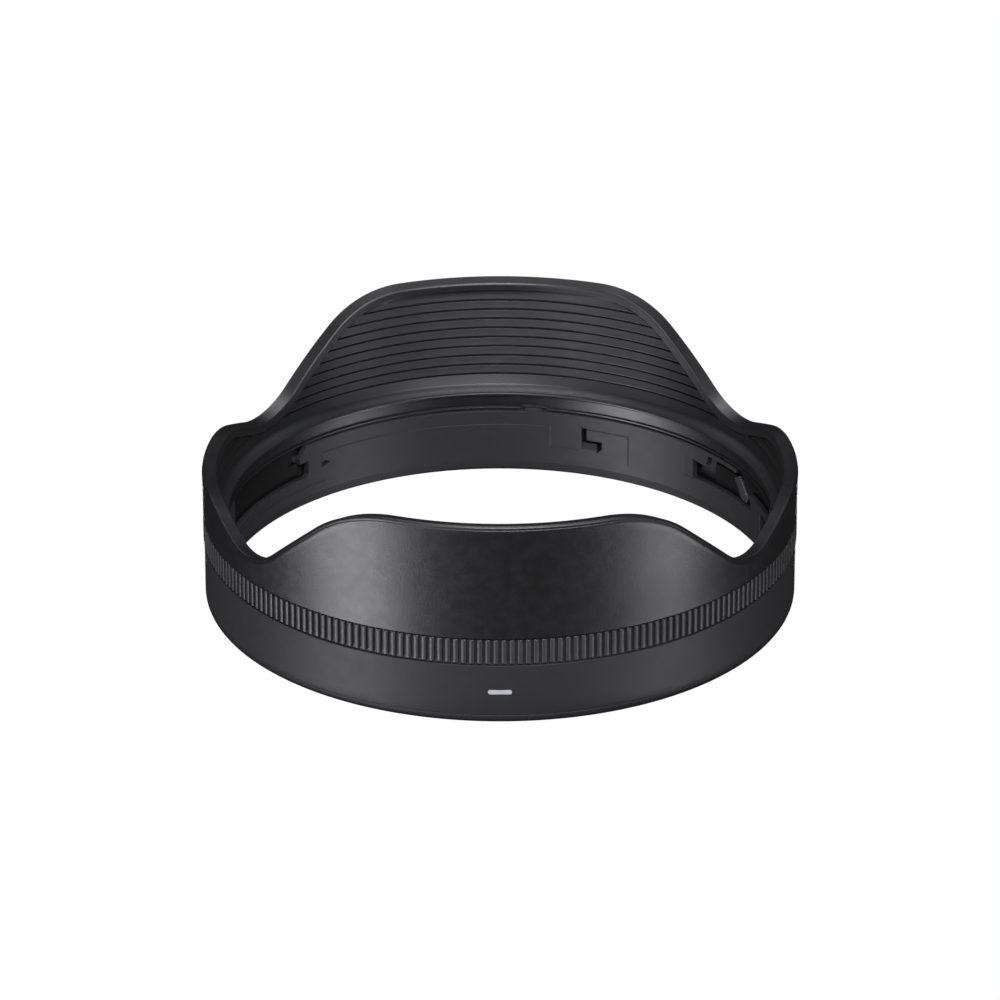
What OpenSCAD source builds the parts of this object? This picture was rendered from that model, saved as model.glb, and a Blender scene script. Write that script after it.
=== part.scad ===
// Push-on petal lens hood: a petal body, a ribbed grip sleeve, a bayonet mount ring and a
// sprung lock ring that turns between them. Millimetres. The origin is the centre of the
// lens-side face, +Z points at the subject, and the index mark is on the -Y side.
// Angles called th are measured from +Y towards +X.

/* [Overall] */
// Outer diameter of the skirt
skirt_d = 78.9; // [78.6:0.1:79.4]
// Height of the two long petals
petal_height = 28.2; // [26:0.1:31]
// Diameter of the bore that slides over the lens
bore_d = 73; // [72.9:0.05:73.1]
// Diameter of the bore's mouth, at the lead-in
mouth_d = 74.1; // [73.6:0.1:74.2]

/* [Petal outline] */
// Half width of the flat top of a long petal
crown_half = 13.9; // [12:0.1:15]
// Radius of a petal's shoulder
shoulder_r = 14; // [11:0.1:14.5]
// Slope of a petal's flank
flank_angle = 48; // [45:0.5:50]
// Length of the straight part of the flank
flank_length = 9.2; // [8.5:0.1:10.5]
// Radius of the valley at the foot of the flank
valley_r = 4.2; // [3.5:0.1:4.5]
// Slope of the rise from the valley to a side petal
side_angle = 40; // [36:0.5:42]

/* [Ribs] */
// Number of ribs on the grip band
grip_ribs = 240; // [180:12:300]
// Height of the skirt below the grip band
skirt_height = 8.6; // [8:0.1:9]
// Height of the grip band
grip_height = 3.4; // [2.8:0.05:3.5]
// Number of anti-reflection grooves inside the petals
groove_count = 10; // [6:1:10]
// Distance from one groove to the next
groove_pitch = 1.368; // [1.2:0.01:1.4]

/* [Lock] */
// Turn of the lock ring from rest to open, in degrees
lock_turn = 2.5; // [1:0.1:2.5]
// Turns of wire in each return spring
spring_turns = 9; // [6:1:10]

/* [Hidden] */
$fn = 240;
big = 100;
opposite = 180;
slide_gap = 0.05;

// Radii, from the outside in
skirt_r = skirt_d / 2;
rib_tip_r = skirt_r + 0.12;
rib_root_r = skirt_r - 0.22;
bore_r = bore_d / 2;
ring_r = bore_r + 0.75;
lock_in_r = ring_r + slide_gap;
lock_out_r = lock_in_r + 0.7;
sleeve_in_r = lock_out_r + slide_gap;
pocket_r = sleeve_in_r + 0.7;
flare_foot_r = rib_tip_r + 0.02;
petal_top_r = rib_tip_r + 0.42;
petal_in_top_r = bore_r + 1.75;
ledge_r = bore_r + 0.95;
lip_r = bore_r - 0.4;
recess_r = bore_r + 0.4;
claw_in_r = bore_r + 0.4;

// Levels, from the lens side up
flange_top = 0.8;
lead_in_top = 1.5;
ring_top = 9.17;
lock_base = flange_top + slide_gap;
lock_top = 9.6;
seam_top = 9.8;
grip_top = skirt_height + grip_height;
lip_z = 12;
ledge_z = 12.6;
flare_foot = 17.5;
cut_top = petal_height + 1;
groove_first = 14.36;
groove_width = 0.32;
groove_depth = 0.35;
groove_border = 1.9;

// Petal outline beyond the valley
rise_r = valley_r - 1.7;
rise_length = 3.25;
arch_r = 2;
least_arch_r = 0.5;

// Spring station, as angles and a level
spring_th = 33;
spring_z = 4.1;
spring_length = 6.75;
spring_wire_r = 0.11;
spring_coil_r = 0.5;
spring_axis_r = 38;
spring_half_th = 5.2;
post_start_th = 5.3;
post_end_th = 6.5;

// ---- helpers -------------------------------------------------------------

// Places children, modelled on the +Y side, at angle th
module facing(th) {
    rotate([0, 0, -th]) children();
}

// Repeats children on the opposite side of the ring
module both_sides() {
    children();
    rotate([0, 0, opposite]) children();
}

// A ring sector from radius r0 to r1, level z0 to z1 and angle th0 to th1
module sector(r0, r1, z0, z1, th0, th1) {
    rotate([0, 0, 90 - th1])
        rotate_extrude(angle = th1 - th0)
            translate([r0, z0])
                square([r1 - r0, z1 - z0]);
}

// A ring with a square section
module ring(r0, r1, z0, z1) {
    difference() {
        translate([0, 0, z0]) cylinder(r = r1, h = z1 - z0);
        translate([0, 0, z0 - 1]) cylinder(r = r0, h = z1 - z0 + 2);
    }
}

// A prism through the wall at angle th, from corners given as [angle, level]
module wall_prism(th, r0, r1, corners) {
    facing(th)
        translate([0, r1, 0])
            rotate([90, 0, 0])
                linear_extrude(r1 - r0)
                    polygon([for (c = corners) [bore_r * sin(c.x - th), c.y]]);
}

// Points of an arc that leaves point p at heading h and turns by t degrees
function arc(p, h, r, t, steps = 7) =
    let (s = sign(t), centre = p + s * r * [-sin(h), cos(h)])
    [for (i = [1:steps]) centre + s * r * [sin(h + t * i / steps), -cos(h + t * i / steps)]];

function last(list) = list[len(list) - 1];
function ahead(p, h, length) = p + length * [cos(h), sin(h)];

// Half of the petal outline, lowered by inset along its normal
function half_outline(inset) =
    let (
        start = [0, petal_height - inset],
        crown = ahead(start, 0, crown_half),
        shoulder = arc(crown, 0, shoulder_r - inset, -flank_angle),
        foot = ahead(last(shoulder), -flank_angle, flank_length),
        valley = arc(foot, -flank_angle, valley_r + inset, flank_angle),
        rise = arc(last(valley), 0, rise_r + inset, side_angle),
        side = ahead(last(rise), side_angle, rise_length),
        arch = arc(side, side_angle, max(arch_r - inset, least_arch_r), -side_angle)
    )
    concat([crown], shoulder, [foot], valley, rise, [side], arch);

// Everything under the petal outline, as a block through the hood along Y
module under_outline(inset = 0) {
    half = half_outline(inset);
    end = last(half);
    right = concat(half, [[big, end.y], [big, -1]]);
    left = [for (i = [len(right) - 1:-1:0]) [-right[i].x, right[i].y]];
    rotate([90, 0, 0])
        linear_extrude(2 * big, center = true)
            polygon(concat(right, left));
}

// ---- petal body ----------------------------------------------------------

// Section of the petal wall, the ledge inside it and the spigot under it
module petal_section() {
    foot_chamfer = 0.12;
    ledge_edge = 0.35;
    lip_edge = 0.12;
    polygon([
        [sleeve_in_r, seam_top], [sleeve_in_r, grip_top],
        [rib_tip_r - foot_chamfer, grip_top], [rib_tip_r, grip_top + foot_chamfer],
        [flare_foot_r, flare_foot], [petal_top_r, cut_top], [petal_in_top_r, cut_top],
        [ledge_r, ledge_z + ledge_edge], [ledge_r - 0.1, ledge_z],
        [lip_r + lip_edge, lip_z + lip_edge], [lip_r, lip_z], [lip_r + 0.06, lip_z - 0.3],
        [recess_r, lip_z - 0.6], [recess_r, seam_top + 0.4],
        [bore_r, seam_top + 0.22], [bore_r, seam_top],
    ]);
}

// Radius of the petals' inner wall at level z
function inner_wall_r(z) = ledge_r + (petal_in_top_r - ledge_r) * (z - ledge_z) / (cut_top - ledge_z);

// The dark lines inside the petals: one shallow groove cut all round, for each level
module petal_grooves() {
    for (i = [0:groove_count - 1]) {
        z = groove_first + i * groove_pitch;
        wall_r = inner_wall_r(z);
        ring(wall_r - 1, wall_r + groove_depth, z - groove_width / 2, z + groove_width / 2);
    }
}

// Notch over the mount ring's key, which sets the mount ring's angle in the body
module key_notch() {
    sector(bore_r - 1, recess_r + 0.02, seam_top - 1, seam_top + 0.12, 4.6, 10.1);
}

module petal_body() {
    color([0.13, 0.13, 0.14])
        difference() {
            intersection() {
                rotate_extrude() petal_section();
                under_outline();
            }
            intersection() {
                petal_grooves();
                under_outline(groove_border);
            }
            both_sides() key_notch();
        }
}

// ---- grip sleeve and index mark -------------------------------------------

mark_length = 3.1;
mark_height = 0.66;
mark_z = 4.55;
mark_depth = 0.3;

// Plan of the grip band: ribs with sloping sides and a narrow top, as shares of the pitch
module rib_plan() {
    pitch = 360 / grip_ribs;
    foot_share = 0.4;
    top_share = 0.16;
    corners = [[-foot_share, rib_root_r], [-top_share, rib_tip_r], [top_share, rib_tip_r], [foot_share, rib_root_r]];
    polygon([
        for (i = [0:grip_ribs - 1], corner = corners)
            let (a = (i + corner[0]) * pitch)
            corner[1] * [cos(a), sin(a)]
    ]);
}

module grip_band() {
    translate([0, 0, skirt_height])
        linear_extrude(grip_height)
            rib_plan();
}

// Section of the plain skirt, with a rounded lower edge
module skirt_section() {
    edge_r = 0.9;
    shoulder = 0.15;
    core_r = rib_root_r - 0.1;
    lower_edge = [for (a = [-90:15:0]) [skirt_r - edge_r + edge_r * cos(a), edge_r + edge_r * sin(a)]];
    polygon(concat(
        [[sleeve_in_r, 0]],
        lower_edge,
        [[skirt_r, skirt_height - shoulder], [core_r, skirt_height], [core_r, grip_top], [sleeve_in_r, grip_top]]
    ));
}

// The dash-shaped prism of the index mark, pointing at -Y
module mark_prism() {
    facing(opposite)
        translate([0, skirt_r + 1, mark_z])
            rotate([90, 0, 0])
                linear_extrude(2)
                    union() {
                        square([mark_length - mark_height, mark_height], center = true);
                        for (side = [-1, 1])
                            translate([side * (mark_length - mark_height) / 2, 0])
                                circle(d = mark_height, $fn = 32);
                    }
}

module mark_shell() {
    ring(skirt_r - mark_depth, skirt_r, mark_z - 1, mark_z + 1);
}

// Pockets that clear the return springs and the posts they push against
module spring_pocket() {
    sector(sleeve_in_r - 1, pocket_r, flange_top, spring_z + 0.9, spring_th - 8, spring_th + 9);
}

module grip_sleeve() {
    color([0.16, 0.16, 0.17])
        difference() {
            union() {
                rotate_extrude() skirt_section();
                difference() {
                    grip_band();
                    translate([0, 0, skirt_height - 1])
                        cylinder(r = rib_root_r - 0.6, h = grip_height + 2);
                }
            }
            intersection() {
                mark_prism();
                mark_shell();
            }
            both_sides() spring_pocket();
        }
}

module index_mark() {
    color([0.82, 0.82, 0.84])
        intersection() {
            mark_prism();
            mark_shell();
        }
}

// ---- mount ring ------------------------------------------------------------

// Section of the sleeve that slides over the lens, with its foot flange and top tongue
module mount_section() {
    polygon([
        [mouth_d / 2, 0], [sleeve_in_r, 0], [sleeve_in_r, flange_top],
        [ring_r, flange_top], [ring_r, seam_top], [recess_r, seam_top],
        [recess_r, ring_top], [bore_r + 0.08, ring_top], [bore_r, ring_top - 0.08],
        [bore_r, lead_in_top],
    ]);
}

cut_in = bore_r - 2;
cut_out = ring_r + 0.02;

// Wide window with a slanted tongue in its upper corner, where a lens lug passes
module lug_window() {
    wall_prism(-62, cut_in, cut_out, [
        [-78, 4.4], [-46.9, 4.4], [-46.1, 4.7], [-46.1, 6.7], [-48.7, 6.7], [-48.7, 7.4],
        [-46.6, 9], [-46.6, seam_top + 1], [-78, seam_top + 1],
    ]);
}

// Window for a latch claw: a tooth over its left end, and open at the top on its right
module claw_window() {
    far_end = last_claw_th + lock_turn + 0.6;
    wall_prism(64, cut_in, cut_out, [
        [46.5, 4.4], [far_end, 4.8], [far_end - 1.2, 7], [82, 7], [82, seam_top + 1],
        [61.5, seam_top + 1], [61.5, 8.6], [51.3, 8.6], [50.6, 7.1], [49, 6.9], [46.5, 7.1],
    ]);
    wall_prism(78, cut_in, cut_out, [[74.2, 3.4], [82, 3.4], [82, 6.2], [74.2, 6.2]]);
}

// Stepped notch for the click stop, with a slanted face beside it
module click_notch() {
    wall_prism(20.4, cut_in, cut_out, [
        [18.1, 5], [18.1, 7.35], [19.3, 7.35], [19.3, 5.55], [22.8, 5.55],
        [22.8, 4.5], [21.6, 3.8], [21.6, 5],
    ]);
    facing(20.1)
        translate([-1.2, bore_r + 0.3, 5.2])
            rotate([0, 90, 0])
                linear_extrude(2.1)
                    polygon([[0, 0], [0, -1.3], [1.3, -1.3], [1.3, -0.4], [0.2, 0]]);
}

// Small hooked recess in the bore wall
module hook_recess() {
    wall_prism(-41, cut_in, bore_r + 0.45, [
        [-42.3, 4.9], [-42.3, 5.7], [-41.2, 5.85], [-39.9, 5.35],
    ]);
}

// Fine V-shaped lines left in the bore wall by the mould's sliding cores
module core_lines() {
    deep = 0.08;
    half = 0.07;
    start_r = bore_r - 3 * deep;
    module level(z, th0, th1) {
        rotate([0, 0, 90 - th1])
            rotate_extrude(angle = th1 - th0)
                polygon([[start_r, z - 4 * half], [bore_r + deep, z], [start_r, z + 4 * half]]);
    }
    module upright(th, z0, z1) {
        facing(th)
            translate([0, 0, z0])
                linear_extrude(z1 - z0)
                    polygon([[-4 * half, start_r], [0, bore_r + deep], [4 * half, start_r]]);
    }
    level(7.13, -42, 10.8);
    upright(10.8, 3.9, 7.2);
    level(3.94, 10.7, 17.6);
    level(7.18, 18.9, 29.1);
    upright(29.1, 2.9, 7.25);
    upright(-42, 5.4, 7.2);
    upright(44, 4.2, 7.3);
    level(4.25, 43.9, 47.5);
    level(2.83, -78, -41.2);
}

// Post and peg on the back of the ring: a return spring pushes against it
module spring_post() {
    sector(
        ring_r - 0.2, pocket_r - 0.1, spring_z - 0.7, spring_z + 0.7,
        spring_th + post_start_th, spring_th + post_end_th
    );
    facing(spring_th)
        translate([1.6, spring_axis_r, spring_z])
            rotate([0, 90, 0])
                cylinder(r = 0.3, h = 2.4, $fn = 24);
}

// Key in the seam, which sets the ring's angle in the body
module ring_key() {
    sector(bore_r, recess_r + 0.1, ring_top - 0.3, seam_top - 0.1, 5.6, 9.1);
}

module mount_ring() {
    color([0.1, 0.1, 0.11])
        difference() {
            union() {
                rotate_extrude() mount_section();
                both_sides() ring_key();
                both_sides() spring_post();
            }
            both_sides() {
                lug_window();
                claw_window();
                click_notch();
                hook_recess();
                core_lines();
            }
        }
}

// ---- lock ring and latch claws ----------------------------------------------

claw_th = 63;
last_claw_th = 65.9;
claw_face = [[60, 7.5], [62.1, 8.2], [last_claw_th, 5.75], [last_claw_th - 0.7, 4.95], [63, 5.15]];
claw_root = [[61.9, 6.9], [63.4, 7.1], [64.6, 6], [63.4, 5.6]];

// Openings in the ring behind the mount ring's windows
module lock_openings() {
    sector(lock_in_r - 1, lock_out_r + 1, 4.6, 8.9, 43.5, 52.6);
    sector(lock_in_r - 1, lock_out_r + 1, 7.7, 8.9, 52.5, 61.2);
    sector(lock_in_r - 1, lock_out_r + 1, 4.3, 6.3, 66.8, 72);
    wall_prism(-48.5, lock_in_r - 1, lock_out_r + 1, [
        [-44.5, 4.2], [-48.2, 4.2], [-48.4, 6.6], [-51.2, 6.6], [-50.6, 7.8], [-48.6, 9.45],
        [-44.5, 9.45],
    ]);
}

// Slot that holds a return spring; its right end rests against the mount ring's post
module spring_slot() {
    sector(
        lock_in_r - 1, lock_out_r + 1, spring_z - 0.8, spring_z + 0.8,
        spring_th - spring_half_th, spring_th + post_end_th + 0.1
    );
}

module lock_ring() {
    color([0.09, 0.09, 0.1])
        difference() {
            ring(lock_in_r, lock_out_r, lock_base, lock_top);
            both_sides() {
                lock_openings();
                spring_slot();
                wall_prism(claw_th, lock_in_r - 1, lock_out_r + 1, claw_root);
            }
        }
}

// Slanted claw that a lens lug pushes aside; its root is pressed into the lock ring
module latch_claw() {
    color([0.3, 0.3, 0.32]) {
        intersection() {
            wall_prism(claw_th, bore_r - 1, lock_in_r + 1, claw_face);
            ring(claw_in_r, lock_in_r, flange_top, ring_top);
        }
        intersection() {
            wall_prism(claw_th, bore_r - 1, lock_out_r + 1, claw_root);
            ring(lock_in_r - 0.2, lock_out_r, flange_top, ring_top);
        }
    }
}

module latch_claw_right() {
    latch_claw();
}

module latch_claw_left() {
    rotate([0, 0, opposite]) latch_claw();
}

// ---- return springs ----------------------------------------------------------

// One turn of wire, as a ring
module coil_turn() {
    rotate_extrude()
        translate([spring_coil_r, 0])
            circle(r = spring_wire_r, $fn = 24);
}

// Return spring: closed turns joined by a thin seam so that it stays one solid
module return_spring() {
    pitch = (spring_length - 2 * spring_wire_r) / (spring_turns - 1);
    color([0.7, 0.7, 0.72])
        facing(spring_th)
            translate([-spring_length / 2 + spring_wire_r, spring_axis_r, spring_z])
                rotate([0, 90, 0]) {
                    for (i = [0:spring_turns - 1])
                        translate([0, 0, i * pitch]) coil_turn();
                    for (i = [0:spring_turns - 2])
                        rotate([0, 0, 180 * (i % 2)])
                            translate([spring_coil_r, 0, i * pitch])
                                cylinder(r = spring_wire_r * 0.9, h = pitch, $fn = 24);
                }
}

module return_spring_right() {
    return_spring();
}

module return_spring_left() {
    rotate([0, 0, opposite]) return_spring();
}

petal_body();
grip_sleeve();
index_mark();
mount_ring();
lock_ring();
latch_claw_right();
latch_claw_left();
return_spring_right();
return_spring_left();
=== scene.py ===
"""Looks of a push-on petal lens hood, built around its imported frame.

The pieces are worked out in millimetres, in the frame's own axes, and to_object() scales them to metres.
The floor, the lights and the camera are in metres. Angles called th are measured from +Y towards +X,
because the far petal is centred on +Y.
"""

import math

import bmesh
import bpy
import numpy as np
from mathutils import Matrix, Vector


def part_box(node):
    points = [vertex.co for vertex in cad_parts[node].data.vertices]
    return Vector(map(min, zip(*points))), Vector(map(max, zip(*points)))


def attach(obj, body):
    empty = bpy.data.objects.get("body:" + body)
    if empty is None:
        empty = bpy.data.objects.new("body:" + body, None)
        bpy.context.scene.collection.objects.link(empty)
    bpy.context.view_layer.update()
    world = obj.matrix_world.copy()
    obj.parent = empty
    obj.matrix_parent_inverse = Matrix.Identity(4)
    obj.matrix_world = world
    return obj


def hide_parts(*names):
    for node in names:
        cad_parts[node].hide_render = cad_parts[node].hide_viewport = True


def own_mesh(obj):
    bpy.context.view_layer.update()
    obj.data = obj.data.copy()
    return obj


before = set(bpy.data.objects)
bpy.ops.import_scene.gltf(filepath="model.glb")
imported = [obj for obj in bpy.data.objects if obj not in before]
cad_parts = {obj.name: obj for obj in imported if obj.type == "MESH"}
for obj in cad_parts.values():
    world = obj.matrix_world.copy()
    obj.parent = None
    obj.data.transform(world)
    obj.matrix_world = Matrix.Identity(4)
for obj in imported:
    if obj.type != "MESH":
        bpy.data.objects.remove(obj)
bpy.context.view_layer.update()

MM = 0.001


def box_mm(node):
    """Lowest and highest corner of a CAD node, in millimetres."""
    low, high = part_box(node)
    return np.array(low) / MM, np.array(high) / MM


PETAL_HIGH = box_mm("petal_body")[1]
SLEEVE_HIGH = box_mm("grip_sleeve")[1]
MOUNT_HIGH = box_mm("mount_ring")[1]
MARK_LOW, MARK_HIGH = box_mm("index_mark")
GRIP_HEIGHT = 3.4
MOUNT_WALL = 1.55

TOP_Z = PETAL_HIGH[2]
SEAM_Z = MOUNT_HIGH[2]
GRIP_TOP = SLEEVE_HIGH[2]
GRIP_BASE = GRIP_TOP - GRIP_HEIGHT
RIB_TIP_R = SLEEVE_HIGH[0]
SKIRT_R = -MARK_LOW[1]
SHELL_IN_R = MOUNT_HIGH[0]
BORE_R = SHELL_IN_R - MOUNT_WALL


# ---- mesh helpers ----------------------------------------------------------


def to_object(name, verts, faces, sharp_deg=32.0):
    """A smooth-shaded mesh object from millimetre vertices, with its doubled vertices welded."""
    mesh = bpy.data.meshes.new(name)
    mesh.from_pydata((np.asarray(verts) * MM).tolist(), [], faces)
    bm = bmesh.new()
    bm.from_mesh(mesh)
    bmesh.ops.remove_doubles(bm, verts=bm.verts, dist=2e-7)
    bmesh.ops.dissolve_degenerate(bm, edges=bm.edges, dist=1e-7)
    bmesh.ops.recalc_face_normals(bm, faces=bm.faces)
    bm.to_mesh(mesh)
    bm.free()
    mesh.polygons.foreach_set("use_smooth", [True] * len(mesh.polygons))
    mesh.set_sharp_from_angle(angle=math.radians(sharp_deg))
    mesh.update()
    obj = bpy.data.objects.new(name, mesh)
    bpy.context.scene.collection.objects.link(obj)
    return obj


def ring_mesh(name, th, rows, sharp_deg=32.0):
    """A closed ring from a closed loop of rows.

    Each row is (radius, level), as numbers or as arrays over th.
    """
    radius = np.array([np.broadcast_to(r, th.shape) for r, _ in rows])
    level = np.array([np.broadcast_to(z, th.shape) for _, z in rows])
    verts = np.stack([radius * np.sin(th), radius * np.cos(th), level], axis=-1).reshape(-1, 3)
    row_count, col_count = radius.shape
    row, col = np.meshgrid(np.arange(row_count), np.arange(col_count), indexing="ij")
    up, right = (row + 1) % row_count, (col + 1) % col_count
    quads = np.stack(
        [row * col_count + col, row * col_count + right, up * col_count + right, up * col_count + col],
        axis=-1,
    )
    return to_object(name, verts, quads.reshape(-1, 4).tolist(), sharp_deg)


def soft_step(x, start, width):
    """0 before start, 1 after start + width, smooth between."""
    t = np.clip((x - start) / width, 0, 1)
    return t * t * (3 - 2 * t)


# ---- petal outline -----------------------------------------------------------

OUTLINE_R = 39.6
CREST_HALF = 14.1
CREST_TURN_R = 17.7
FLANK = 10.55
FLANK_DEGREES = 39
VALLEY_R_BY_LONG = 10.2
VALLEY_R_BY_SHORT = 9.85
SHORT_FLANK = 5.05
SHORT_DEGREES = 18.55
SHORT_TURN_R = 20
SHORT_CREST_HALF = 20


def outline_path(inset):
    """The rim line of one quarter, unrolled to (arc length, level), moved in by inset along its normal."""
    points = [(0.0, TOP_Z - inset)]
    heading = 0.0

    def line(length):
        x, z = points[-1]
        points.append((x + length * math.cos(heading), z + length * math.sin(heading)))

    def turn(radius, degrees, steps=24):
        nonlocal heading
        side = math.copysign(1, degrees)
        x, z = points[-1]
        cx, cz = x - side * radius * math.sin(heading), z + side * radius * math.cos(heading)
        start = heading
        for i in range(1, steps + 1):
            h = start + math.radians(degrees) * i / steps
            points.append((cx + side * radius * math.sin(h), cz - side * radius * math.cos(h)))
        heading = start + math.radians(degrees)

    line(CREST_HALF)
    turn(CREST_TURN_R - inset, -FLANK_DEGREES)
    line(FLANK)
    turn(VALLEY_R_BY_LONG + inset, FLANK_DEGREES)
    turn(VALLEY_R_BY_SHORT + inset, SHORT_DEGREES)
    line(SHORT_FLANK)
    turn(SHORT_TURN_R - inset, -SHORT_DEGREES)
    line(SHORT_CREST_HALF)
    return np.array(points)


def rim_level(th, inset):
    """Level of the rim line at angle th, moved in by inset. The four quarters mirror each other."""
    path = outline_path(inset)
    folded = np.abs((th + math.pi) % (2 * math.pi) - math.pi)
    folded = np.minimum(folded, math.pi - folded)
    return np.interp(OUTLINE_R * folded, path[:, 0], path[:, 1])


# ---- petal body --------------------------------------------------------------

FLARE_START = 18.0
FLARE_SLOPE = 0.038
FLARE_BLEND = 1.4
LEDGE_Z = 12.8
LEDGE_R = BORE_R + 0.95
LIP_R = BORE_R - 0.4
LIP_Z = 12.04
LIP_ROUND = 0.2
RECESS_R = BORE_R + 0.28
GROOVE_FIRST = 14.36
GROOVE_PITCH = 1.368
GROOVE_COUNT = 9
GROOVE_HALF = 0.19
GROOVE_DEPTH = 0.52
GROOVE_END = 0.16
GROOVE_EDGE = 0.04
SAW_RISE = 0.3
SAW_FOOT = 0.02
BAND_TOP = 0.8
BAND_INSET = 1.4
BAND_RELIEF = 0.08
BORDER_WIDTH = 0.25
BORDER_DEPTH = 0.36
BORDER_FADE = 0.8
RIM_CHAMFER = 0.21
RIM_STEP = 0.06
RIM_STEP_FOOT = 0.6
RIM_STEP_TOP = 0.5
RIM_DROP = 0.36
INNER_SLOPE = 0.034
KEY_STARTS = (5.0, -175.0)
KEY_SPAN = 5.1
KEY_BLEND = 0.7
KEY_LIFT = 0.3
SPIGOT_TOP = SEAM_Z - 0.08
SPIGOT_FOOT = SEAM_Z - 0.34
PETAL_STEPS = 1800


def outer_radius(z):
    """Outside of the petals: straight at the foot, then flaring outwards."""
    bend = FLARE_BLEND * np.log1p(np.exp((z - FLARE_START) / FLARE_BLEND))
    return RIB_TIP_R - 0.02 + FLARE_SLOPE * bend


def inner_radius(z):
    """Inside of the petals, leaning outwards from the ledge to the rim."""
    return LEDGE_R + INNER_SLOPE * (z - LEDGE_Z)


def rim_rows(th):
    """The rim: a small step, an outer chamfer, a face that leans in and an inner chamfer.

    The small offsets beside the named sizes round the edges.
    """
    r_out = outer_radius(rim_level(th, 0))
    r_face = r_out - RIM_STEP
    r_in = inner_radius(rim_level(th, RIM_DROP + 0.15))
    return [
        (r_out, rim_level(th, RIM_STEP_FOOT)),
        (r_out - 0.01, rim_level(th, RIM_STEP_FOOT - 0.03)),
        (r_face, rim_level(th, RIM_STEP_TOP)),
        (r_face, rim_level(th, RIM_CHAMFER + 0.05)),
        (r_face - 0.02, rim_level(th, RIM_CHAMFER)),
        (r_face - RIM_CHAMFER + 0.02, rim_level(th, 0.03)),
        (r_face - RIM_CHAMFER - 0.03, rim_level(th, 0.01)),
        (0.5 * (r_face + r_in), rim_level(th, RIM_DROP * 0.5)),
        (r_in + 0.14, rim_level(th, RIM_DROP)),
        (r_in + 0.11, rim_level(th, RIM_DROP + 0.03)),
        (r_in + 0.02, rim_level(th, RIM_DROP + 0.18)),
        (r_in, rim_level(th, RIM_DROP + 0.23)),
    ]


def saw_offset(z):
    """How far the wall steps back behind its innermost line at level z: one flat rises to the next."""
    half = (GROOVE_HALF + GROOVE_EDGE) / GROOVE_PITCH
    t = ((z - GROOVE_FIRST) / GROOVE_PITCH) % 1
    on_flat = (t - half) / (1 - 2 * half)
    in_groove = 1 - (np.where(t > 0.5, t - 1, t) + half) / (2 * half)
    share = np.where((t >= half) & (t <= 1 - half), on_flat, in_groove)
    share = np.where(z < GROOVE_FIRST - (1 - half) * GROOVE_PITCH, 0, share)
    return SAW_FOOT + (SAW_RISE - SAW_FOOT) * share


def groove_rows(th):
    """The smooth band under the rim, the groove that borders it, and the saw-toothed flats inside."""
    lowest = LEDGE_Z + 0.15
    band = np.maximum(rim_level(th, BAND_INSET), lowest)
    inside = np.maximum(band - BORDER_WIDTH, lowest)
    share = soft_step(band, lowest + 0.3, BORDER_FADE)
    wall = inner_radius(band) - BAND_RELIEF * share
    band_top = rim_level(th, BAND_TOP)
    rows = [
        (inner_radius(band_top) - 0.02 * share, band_top),
        (wall, band + 0.04),
        (wall + 0.02 * share, band),
        (wall + BORDER_DEPTH * share, band - 0.02 * share),
        (wall + BORDER_DEPTH * share, inside + 0.03 * share),
    ]

    def clamped(level, depth=None):
        """Adds a row at level, held below the border groove. depth fades out towards that groove."""
        z = np.minimum(level, inside)
        offset = saw_offset(z)
        if depth is not None:
            offset = offset + (depth - offset) * np.clip((inside - level) / GROOVE_END, 0, 1)
        rows.append((inner_radius(z) + offset, z))

    for i in reversed(range(GROOVE_COUNT)):
        z = GROOVE_FIRST + i * GROOVE_PITCH
        clamped(z + GROOVE_PITCH * 0.85)
        clamped(z + GROOVE_PITCH * 0.5)
        clamped(z + GROOVE_HALF + GROOVE_EDGE)
        clamped(z + GROOVE_HALF, 0.05)
        clamped(z + GROOVE_HALF - 0.02, GROOVE_DEPTH)
        clamped(z - GROOVE_HALF + 0.05, GROOVE_DEPTH)
        clamped(z - GROOVE_HALF, SAW_RISE + 0.02)
        clamped(z - GROOVE_HALF - GROOVE_EDGE)
    return rows


def ledge_rows(th):
    """The sloped ledge, its lip, the recess under the lip and the spigot that sits in the sleeve.

    The spigot is lifted over the two seam keys of the mount ring.
    """
    degrees = np.degrees(th)
    notch = sum(
        soft_step(degrees, start - KEY_BLEND, KEY_BLEND) - soft_step(degrees, start + KEY_SPAN, KEY_BLEND)
        for start in KEY_STARTS
    )
    spigot_top = SPIGOT_TOP + KEY_LIFT * notch
    spigot_foot = SPIGOT_FOOT + KEY_LIFT * notch
    rows = [
        (LEDGE_R + 0.01, LEDGE_Z + 0.1),
        (LEDGE_R - 0.05, LEDGE_Z),
        (LIP_R + LIP_ROUND + 0.08, LIP_Z + 0.02),
    ]
    for lip_degrees in range(90, -1, -18):
        a = math.radians(lip_degrees)
        rows.append((LIP_R + LIP_ROUND * (1 - math.cos(a)), LIP_Z - LIP_ROUND * (1 - math.sin(a))))
    rows += [
        (LIP_R + 0.02, LIP_Z - 0.36),
        (LIP_R + 0.08, LIP_Z - 0.44),
        (RECESS_R, LIP_Z - 0.75),
        (RECESS_R, spigot_top + 0.03),
        (BORE_R + 0.06, spigot_top),
        (BORE_R + 0.02, spigot_top - 0.04),
        (BORE_R + 0.02, spigot_foot + 0.05),
        (BORE_R + 0.06, spigot_foot),
        (BORE_R + 0.34, spigot_foot),
        (BORE_R + 0.38, SEAM_Z + 0.16 * notch),
        (SHELL_IN_R, SEAM_Z + 0.16 * notch),
        (SHELL_IN_R, GRIP_TOP),
    ]
    return rows


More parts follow.
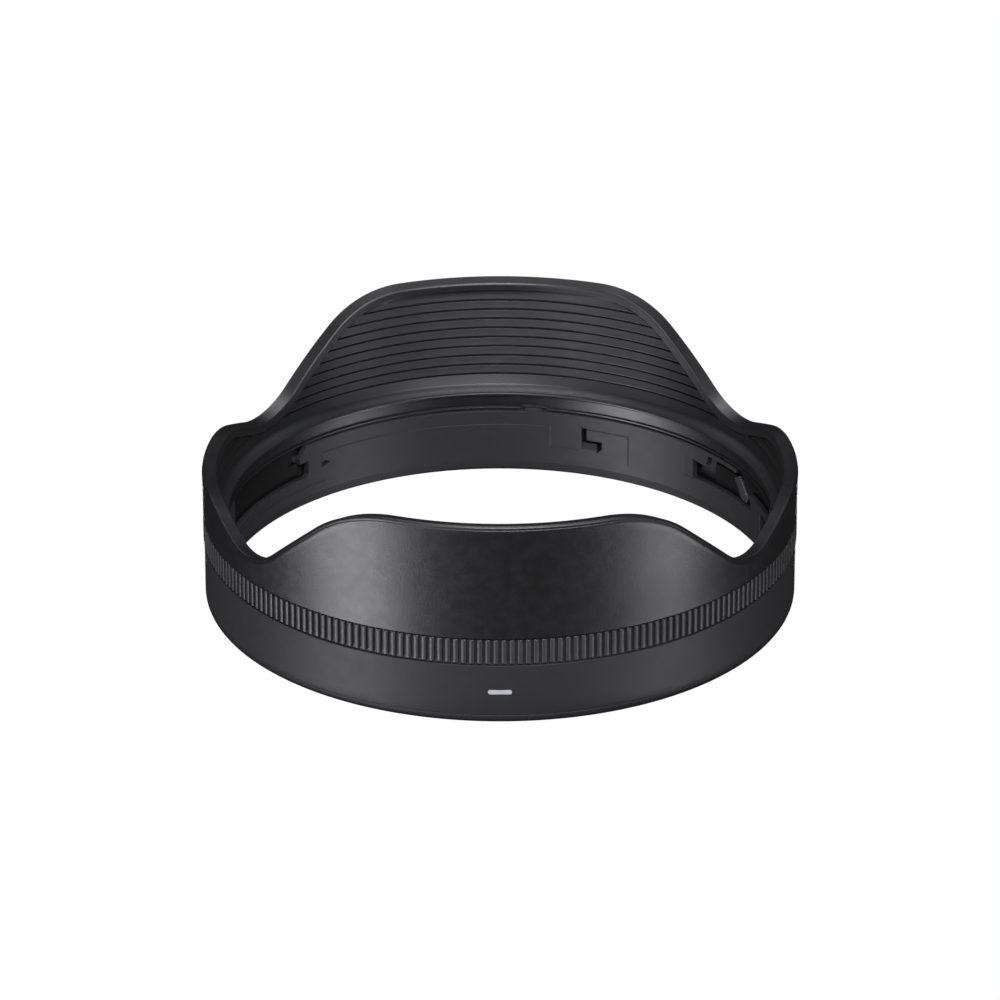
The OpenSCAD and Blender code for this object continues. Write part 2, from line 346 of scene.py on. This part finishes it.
def build_petal_body():
    """One closed ring: up the outside, over the rim, down the grooved inside and back under the ledge."""
    th = np.linspace(-math.pi, math.pi, PETAL_STEPS, endpoint=False)
    foot = GRIP_TOP + 0.22
    rows = [(RIB_TIP_R - 0.3, GRIP_TOP), (RIB_TIP_R - 0.1, GRIP_TOP + 0.18), (outer_radius(foot), foot)]
    near_rim = rim_level(th, 0.9)
    for t in np.linspace(0, 1, 16)[1:]:
        z = foot + t * (near_rim - foot)
        rows.append((outer_radius(z), z))
    rows += rim_rows(th) + groove_rows(th) + ledge_rows(th)
    return ring_mesh("petal_body_shell", th, rows)


# ---- grip sleeve ---------------------------------------------------------------

RIB_COUNT = 240
RIB_ROOT_R = SKIRT_R - 0.36
RIB_GAP = 0.2
RIB_WALL = 0.03
RIB_CROWN = 0.14
BOTTOM_ROUND_R = 0.84
BOTTOM_ROUND_Z = 0.88
LINE_LOW = 1.12
LINE_HIGH = 1.3
LINE_DEPTH = 0.05
LINE_EDGE_LOW = 0.04
LINE_EDGE_HIGH = 0.06


def rib_profile():
    """One rib as (share of the pitch, share of the height): a gap, a steep wall and a crowned top."""
    half_top = 0.5 - RIB_GAP - RIB_WALL
    top = [(0.5 + half_top * c, 1 - RIB_CROWN * c * c) for c in np.linspace(-1, 1, 9)]
    return [(0.0, 0.0), (RIB_GAP, 0.0)] + top + [(1 - RIB_GAP, 0.0)]


def build_grip_sleeve():
    """The plain skirt with its rounded bottom edge and fine line, and the ribbed band above a groove."""
    phase = np.array([p for p, _ in rib_profile()])
    height = np.tile([h for _, h in rib_profile()], RIB_COUNT)
    turns = (np.arange(RIB_COUNT)[:, None] + phase[None, :]).ravel() / RIB_COUNT
    th = turns * 2 * math.pi - math.pi
    rib = RIB_ROOT_R + height * (RIB_TIP_R - RIB_ROOT_R)
    rows = [(SHELL_IN_R, 0.0), (SKIRT_R - BOTTOM_ROUND_R, 0.0)]
    for degrees in range(15, 91, 15):
        a = math.radians(degrees)
        rows.append(
            (SKIRT_R - BOTTOM_ROUND_R + BOTTOM_ROUND_R * math.sin(a), BOTTOM_ROUND_Z * (1 - math.cos(a)))
        )
    rows += [
        (SKIRT_R, LINE_LOW),
        (SKIRT_R - LINE_DEPTH, LINE_LOW + LINE_EDGE_LOW),
        (SKIRT_R - LINE_DEPTH, LINE_HIGH - LINE_EDGE_HIGH),
        (SKIRT_R, LINE_HIGH),
        (SKIRT_R, 3.5),
        (SKIRT_R, 6.0),
        (SKIRT_R, GRIP_BASE - 0.34),
        (SKIRT_R - 0.05, GRIP_BASE - 0.28),
        (RIB_ROOT_R, GRIP_BASE - 0.26),
        (RIB_ROOT_R, GRIP_BASE),
        (np.maximum(rib - 0.09, RIB_ROOT_R), GRIP_BASE),
        (rib, GRIP_BASE + 0.09),
        (rib, GRIP_TOP - 0.09),
        (np.maximum(rib - 0.07, RIB_ROOT_R), GRIP_TOP - 0.01),
        (RIB_ROOT_R - 0.02, GRIP_TOP),
        (SHELL_IN_R, GRIP_TOP),
    ]
    return ring_mesh("grip_sleeve_shell", th, rows, sharp_deg=28)


def build_index_mark():
    """A dash of paint that fills its pocket and bulges a hair over the skirt.

    Each layer is a pair of its share of the outline and its lift over the skirt.
    """
    half_w = (MARK_HIGH[0] - MARK_LOW[0]) / 2
    half_h = (MARK_HIGH[2] - MARK_LOW[2]) / 2
    centre_z = (MARK_HIGH[2] + MARK_LOW[2]) / 2
    straight = half_w - half_h
    verts, faces = [], []
    rim_count = 48
    layers = ((1.0, -0.28), (1.0, 0.0), (0.97, 0.014), (0.85, 0.022), (0.5, 0.024))
    for share, lift in layers:
        for i in range(rim_count):
            a = 2 * math.pi * i / rim_count
            x = math.copysign(straight, math.cos(a)) * min(1.0, share + 0.1) + half_h * share * math.cos(a)
            z = centre_z + half_h * share * math.sin(a)
            r = SKIRT_R + lift
            verts.append((x, -math.sqrt(r * r - x * x), z))
    for k in range(len(layers) - 1):
        for i in range(rim_count):
            j = (i + 1) % rim_count
            a, b = k * rim_count, (k + 1) * rim_count
            faces.append([a + i, a + j, b + j, b + i])
    faces.append(list(range(rim_count)))
    faces.append([(len(layers) - 1) * rim_count + i for i in range(rim_count)])
    return to_object("index_mark_paint", verts, faces, sharp_deg=50)


# ---- return springs --------------------------------------------------------------


WIRE_R = 0.11
COIL_R = 0.5
SPRING_LENGTH = 6.75
SPRING_TURNS = 9
SPRING_END_SWING = 0.045


def build_spring(name, node):
    """A wound coil in the place of the CAD spring, with closed ends.

    Returns the coil, the direction that it lies along and the point of the post that it pushes against.
    """
    low, high = box_mm(node)
    centre = (low + high) / 2
    radial = Vector((centre[0], centre[1], 0)).normalized()
    along = Vector((radial.y, -radial.x, 0))
    up = Vector((0, 0, 1))
    steps = SPRING_TURNS * 28
    sides = 10
    verts, faces = [], []
    for i in range(steps + 1):
        t = i / steps
        a = 2 * math.pi * SPRING_TURNS * t
        lead = t + SPRING_END_SWING * math.sin(2 * math.pi * t)
        out = radial * math.cos(a) + up * math.sin(a)
        spine = Vector(centre) + along * ((lead - 0.5) * (SPRING_LENGTH - 2 * WIRE_R)) + out * COIL_R
        for k in range(sides):
            b = 2 * math.pi * k / sides
            verts.append(tuple(spine + out * (WIRE_R * math.cos(b)) + along * (WIRE_R * math.sin(b))))
    for i in range(steps):
        for k in range(sides):
            n = (k + 1) % sides
            faces.append([i * sides + k, i * sides + n, (i + 1) * sides + n, (i + 1) * sides + k])
    faces.append(list(range(sides)))
    faces.append([steps * sides + k for k in range(sides)])
    obj = to_object(name, verts, faces, sharp_deg=60)
    post = Vector(centre) + along * (SPRING_LENGTH / 2)
    return obj, along, post


# ---- materials ----------------------------------------------------------------------


class Nodes:
    """Short calls for building a material's node tree."""

    def __init__(self, name):
        self.material = bpy.data.materials.new(name)
        self.material.use_nodes = True
        self.tree = self.material.node_tree
        self.shader = self.tree.nodes["Principled BSDF"]
        coords = self.tree.nodes.new("ShaderNodeTexCoord")
        self.place = coords.outputs["Object"]

    def add(self, kind, **inputs):
        node = self.tree.nodes.new(kind)
        for key, value in inputs.items():
            self.feed(node, key.replace("_", " "), value)
        return node

    def feed(self, node, key, value):
        socket = node.inputs[key]
        if isinstance(value, bpy.types.NodeSocket):
            self.tree.links.new(value, socket)
        else:
            socket.default_value = value

    def noise(self, scale, detail=2.0, rough=0.5):
        node = self.add("ShaderNodeTexNoise", Scale=scale, Detail=detail, Roughness=rough)
        self.feed(node, "Vector", self.place)
        return node.outputs["Fac"]

    def remap(self, value, low, high, start=0.3, end=0.7):
        node = self.add("ShaderNodeMapRange")
        self.feed(node, "Value", value)
        self.feed(node, "From Min", start)
        self.feed(node, "From Max", end)
        self.feed(node, "To Min", low)
        self.feed(node, "To Max", high)
        return node.outputs["Result"]

    def mix(self, share, a, b):
        node = self.tree.nodes.new("ShaderNodeMix")
        node.data_type = "RGBA"
        self.feed(node, "Factor", share)
        node.inputs[6].default_value = (*a, 1)
        node.inputs[7].default_value = (*b, 1)
        return node.outputs[2]

    def bump(self, height, strength, distance, normal=None):
        node = self.add("ShaderNodeBump", Strength=strength, Distance=distance)
        self.feed(node, "Height", height)
        if normal is not None:
            self.feed(node, "Normal", normal)
        return node.outputs["Normal"]


def black_plastic(name, tone, rough, grain_mm, grain_um, edge_mm=0.06, specular=0.5, sheen_above=None):
    """Moulded black plastic: fine grain, uneven sheen, and edges rubbed a little lighter.

    grain_mm is the width of the grain and grain_um its height in micrometres. edge_mm is how far the
    shading of an edge is rounded. sheen_above is a pair of a level and the specular value above it.
    """
    n = Nodes(name)
    edge = n.add("ShaderNodeBevel", Radius=edge_mm * MM)
    edge.samples = 6
    geometry = n.tree.nodes.new("ShaderNodeNewGeometry")
    dot = n.tree.nodes.new("ShaderNodeVectorMath")
    dot.operation = "DOT_PRODUCT"
    n.tree.links.new(edge.outputs["Normal"], dot.inputs[0])
    n.tree.links.new(geometry.outputs["Normal"], dot.inputs[1])
    worn = n.remap(dot.outputs["Value"], 1.0, 0.0, 0.86, 0.995)
    cloud = n.noise(220, 3)
    share = n.add("ShaderNodeMath")
    share.operation = "MULTIPLY"
    n.tree.links.new(worn, share.inputs[0])
    n.tree.links.new(n.remap(cloud, 0.25, 0.8), share.inputs[1])
    base = (tone, tone, tone)
    rubbed = tuple(c * 1.9 for c in base)
    n.feed(n.shader, "Base Color", n.mix(share.outputs[0], base, rubbed))
    n.feed(n.shader, "Roughness", n.remap(n.noise(700, 3), rough - 0.035, rough + 0.035))
    if sheen_above:
        level, upper = sheen_above
        axes = n.add("ShaderNodeSeparateXYZ", Vector=n.place)
        specular = n.remap(axes.outputs["Z"], specular, upper, (level - 0.05) * MM, level * MM)
    n.feed(n.shader, "Specular IOR Level", specular)
    grain = n.noise(1 / (grain_mm * MM), 3, 0.6)
    n.feed(n.shader, "Normal", n.bump(grain, 1.0, grain_um * 1e-6, edge.outputs["Normal"]))
    return n.material


def mark_paint():
    """Matt grey paint with a faint cloudiness."""
    n = Nodes("mark_paint")
    cloud = n.remap(n.noise(900, 3), 0, 1)
    n.feed(n.shader, "Base Color", n.mix(cloud, (0.33, 0.33, 0.34), (0.38, 0.38, 0.39)))
    n.feed(n.shader, "Roughness", 0.55)
    n.feed(n.shader, "Normal", n.bump(n.noise(5000), 0.25, 0.00002))
    return n.material


def spring_steel():
    """Drawn steel wire, a little uneven in colour and sheen."""
    n = Nodes("spring_steel")
    n.feed(n.shader, "Base Color", n.mix(n.noise(2500, 4), (0.42, 0.42, 0.44), (0.62, 0.61, 0.60)))
    n.feed(n.shader, "Metallic", 1.0)
    n.feed(n.shader, "Roughness", n.remap(n.noise(6000, 2), 0.24, 0.42))
    n.feed(n.shader, "Normal", n.bump(n.noise(9000), 0.2, 0.00001))
    return n.material


def dress(obj, material):
    """Gives obj this material only."""
    obj.data.materials.clear()
    obj.data.materials.append(material)


# ---- pieces -------------------------------------------------------------------------

grained = black_plastic("petal_plastic", 0.007, 0.38, 0.32, 13, specular=0.54)
rib_sheen = (GRIP_BASE - 0.1, 0.54)
satin = black_plastic("sleeve_plastic", 0.021, 0.48, 0.3, 16, specular=0.21, sheen_above=rib_sheen)
mount_black = black_plastic("mount_plastic", 0.022, 0.45, 0.26, 20, edge_mm=0.14, specular=0.22)
# The lock ring's tone is darker than the mount ring's: painted shade for the recess behind the mount
# ring's windows.
lock_shaded_black = black_plastic("lock_plastic", 0.006, 0.50, 0.2, 12, edge_mm=0.14, specular=0.12)
claw_black = black_plastic("claw_plastic", 0.034, 0.34, 0.2, 6, edge_mm=0.2, specular=0.6)
paint = mark_paint()
steel = spring_steel()

petal_body = build_petal_body()
dress(petal_body, grained)
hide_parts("petal_body")
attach(petal_body, "hood")

grip_sleeve = build_grip_sleeve()
dress(grip_sleeve, satin)
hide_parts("grip_sleeve")
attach(grip_sleeve, "hood")

index_mark = build_index_mark()
dress(index_mark, paint)
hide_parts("index_mark")
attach(index_mark, "hood")

for side in ("right", "left"):
    spring, along, post = build_spring(f"return_coil_{side}", f"return_spring_{side}")
    dress(spring, steel)
    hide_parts(f"return_spring_{side}")
    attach(spring, "hood")
    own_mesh(spring)

for node, material in (
    ("mount_ring", mount_black),
    ("lock_ring", lock_shaded_black),
    ("latch_claw_right", claw_black),
    ("latch_claw_left", claw_black),
):
    dress(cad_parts[node], material)


# ---- stage ---------------------------------------------------------------------------


def build_floor():
    """A plain pale floor that only a camera above it sees, so that lights can stand below its level."""
    mesh = bpy.data.meshes.new("floor")
    reach = 6.0
    level = -0.0004
    corners = [(x * reach, y * reach, level) for x, y in ((-1, -1), (1, -1), (1, 1), (-1, 1))]
    mesh.from_pydata(corners, [], [(0, 1, 2, 3)])
    floor = bpy.data.objects.new("floor", mesh)
    bpy.context.scene.collection.objects.link(floor)
    material = bpy.data.materials.new("pale_floor")
    material.use_nodes = True
    tree = material.node_tree
    tree.nodes.clear()
    out = tree.nodes.new("ShaderNodeOutputMaterial")
    pale = tree.nodes.new("ShaderNodeEmission")
    pale.inputs["Color"].default_value = (1, 1, 1, 1)
    clear = tree.nodes.new("ShaderNodeBsdfTransparent")
    geometry = tree.nodes.new("ShaderNodeNewGeometry")
    mix = tree.nodes.new("ShaderNodeMixShader")
    tree.links.new(geometry.outputs["Backfacing"], mix.inputs[0])
    tree.links.new(pale.outputs[0], mix.inputs[1])
    tree.links.new(clear.outputs[0], mix.inputs[2])
    tree.links.new(mix.outputs[0], out.inputs["Surface"])
    mesh.materials.append(material)
    floor.visible_diffuse = False
    floor.visible_glossy = False
    floor.visible_shadow = False


def build_contact_shade_ring():
    """A black sheet under the hood's foot that the camera does not see: painted shade standing in for the
    shaded floor there, seen in reflections. It keeps light from below off the rounded bottom edge.
    """
    count = 96
    level = -0.0003
    verts = []
    for radius in (BORE_R + 0.1, SKIRT_R + 1.6):
        for i in range(count):
            a = 2 * math.pi * i / count
            verts.append((radius * MM * math.cos(a), radius * MM * math.sin(a), level))
    faces = [[i, (i + 1) % count, count + (i + 1) % count, count + i] for i in range(count)]
    mesh = bpy.data.meshes.new("contact_shade_ring")
    mesh.from_pydata(verts, [], faces)
    ring = bpy.data.objects.new("contact_shade_ring", mesh)
    bpy.context.scene.collection.objects.link(ring)
    material = bpy.data.materials.new("contact_painted_shade")
    material.use_nodes = True
    shader = material.node_tree.nodes["Principled BSDF"]
    # Near black: painted shade for the floor in the hood's shadow, as the hood's surfaces reflect it.
    shader.inputs["Base Color"].default_value = (0.01, 0.01, 0.01, 1)
    shader.inputs["Roughness"].default_value = 1.0
    shader.inputs["Specular IOR Level"].default_value = 0.0
    mesh.materials.append(material)
    ring.visible_camera = False


def softbox(name, azimuth, elevation, power):
    """A round light that faces the hood. Azimuth 0 is the camera's side, and 90 is to its right."""
    distance, size, aim_z = 0.75, 0.3, 0.012
    data = bpy.data.lights.new(name, "AREA")
    data.shape = "DISK"
    data.size = size
    data.energy = power
    data.color = (1.0, 1.0, 1.07)
    a, e = math.radians(azimuth), math.radians(elevation)
    place = Vector((math.sin(a) * math.cos(e), -math.cos(a) * math.cos(e), math.sin(e))) * distance
    obj = bpy.data.objects.new(name, data)
    obj.location = place + Vector((0, 0, aim_z))
    obj.rotation_euler = (-place).to_track_quat("-Z", "Y").to_euler()
    bpy.context.scene.collection.objects.link(obj)


def build_world(strength):
    world = bpy.data.worlds.new("studio")
    bpy.context.scene.world = world
    world.use_nodes = True
    tree = world.node_tree
    tree.nodes.clear()
    out = tree.nodes.new("ShaderNodeOutputWorld")
    path = tree.nodes.new("ShaderNodeLightPath")
    seen = tree.nodes.new("ShaderNodeBackground")
    fill = tree.nodes.new("ShaderNodeBackground")
    seen.inputs["Strength"].default_value = 1.0
    seen.inputs["Color"].default_value = (1, 1, 1, 1)
    fill.inputs["Color"].default_value = (0.94, 0.94, 1.0, 1)
    fill.inputs["Strength"].default_value = strength
    mix = tree.nodes.new("ShaderNodeMixShader")
    tree.links.new(path.outputs["Is Camera Ray"], mix.inputs[0])
    tree.links.new(fill.outputs[0], mix.inputs[1])
    tree.links.new(seen.outputs[0], mix.inputs[2])
    tree.links.new(mix.outputs[0], out.inputs["Surface"])


def build_camera():
    """The camera stands 800 mm from the origin, 26.46 degrees up, and looks 0.83 degrees over it."""
    distance = 0.8
    elevation = math.radians(26.464)
    pitch = math.radians(0.833)
    data = bpy.data.cameras.new("camera")
    data.sensor_width = 36
    data.lens = 214.6
    data.clip_start = 0.01
    data.clip_end = 50
    camera = bpy.data.objects.new("camera", data)
    camera.location = (0, -distance * math.cos(elevation), distance * math.sin(elevation))
    camera.rotation_euler = (math.pi / 2 - elevation + pitch, 0, 0)
    bpy.context.scene.collection.objects.link(camera)
    bpy.context.scene.camera = camera


# Each light: its name, azimuth and elevation in degrees, and power in watts
LIGHTS = (
    ("overhead", 180, 82, 2.4),
    ("top_back", 180, 57, 0.3),
    ("back_left", -127, 41, 0.25),
    ("back_right", 127, 41, 0.2),
    ("high_left", -90, 75, 0.5),
    ("high_right", 90, 75, 0.3),
    ("crest", 0, 50, 2.9),
    ("top_front", 0, 35, 1.7),
    ("top_right", 30, 35, 1.8),
    ("low_left", -50, -20, 2.1),
    ("low_left_side", -70, -40, 2.5),
    ("low_right_side", 70, -40, 2.5),
    ("left_front", -30, 5, 0.95),
    ("left_side", -60, 5, 0.5),
    ("right_side", 60, 5, 0.5),
    ("back", 180, -25, 3.0),
)

build_floor()
build_contact_shade_ring()
build_world(0.01)
for name, azimuth, elevation, power in LIGHTS:
    softbox(name, azimuth, elevation, power)
build_camera()
bpy.context.scene.view_settings.view_transform = "Standard"
